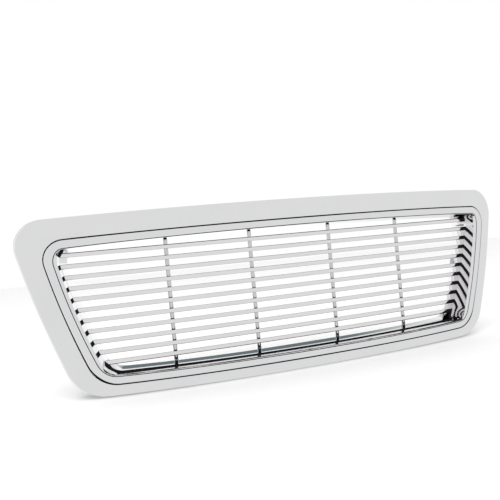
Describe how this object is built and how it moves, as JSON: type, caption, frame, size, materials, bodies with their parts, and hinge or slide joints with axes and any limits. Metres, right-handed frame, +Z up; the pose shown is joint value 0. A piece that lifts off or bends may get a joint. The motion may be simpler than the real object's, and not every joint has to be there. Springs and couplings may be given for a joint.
{
  "type": "front grille",
  "caption": "Wide bowed chrome vehicle front grille: tapered surround, inner bezel, horizontal bars crossed by upright rods, and a rear mounting frame.",
  "frame": {"origin": "centre of the line of the four upper bolt holes, on the top face of the brackets", "axes": "X across the vehicle, +Y rearward, +Z up; the front faces -Y"},
  "size_m": [1.0772, 0.1325, 0.3412],
  "materials": {
    "surround_chrome": "bright chrome plate on ABS",
    "bezel_chrome": "bright chrome plate on ABS",
    "bar_chrome": "bright chrome plate on ABS",
    "rod_chrome": "bright chrome plate on ABS",
    "frame_plastic": "black moulded, fine grain",
    "bracket_steel": "zinc plated sheet",
    "pin_plastic": "natural nylon",
    "screw_steel": "zinc plated",
    "rivet_aluminium": "plain",
    "seal_foam": "closed-cell foam"
  },
  "bodies": {
    "root": {"outer_shell": "surround_chrome", "inner_bezel": "bezel_chrome", "bar_01": "bar_chrome", "bar_02": "bar_chrome", "bar_03": "bar_chrome", "bar_04": "bar_chrome", "bar_05": "bar_chrome", "bar_06": "bar_chrome", "bar_07": "bar_chrome", "bar_08": "bar_chrome", "bar_09": "bar_chrome", "bar_10": "bar_chrome", "bar_11": "bar_chrome", "rod_1": "rod_chrome", "rod_2": "rod_chrome", "rod_3": "rod_chrome", "rod_4": "rod_chrome", "end_plate_left": "frame_plastic", "end_plate_right": "frame_plastic", "upper_rail": "frame_plastic", "lower_rail": "frame_plastic", "upper_bracket_1": "bracket_steel", "upper_bracket_2": "bracket_steel", "upper_bracket_3": "bracket_steel", "upper_bracket_4": "bracket_steel", "locating_pin_left": "pin_plastic", "locating_pin_right": "pin_plastic", "rail_screws": "screw_steel", "bracket_rivets": "rivet_aluminium", "upper_seal": "seal_foam"}
  },
  "joints": []
}
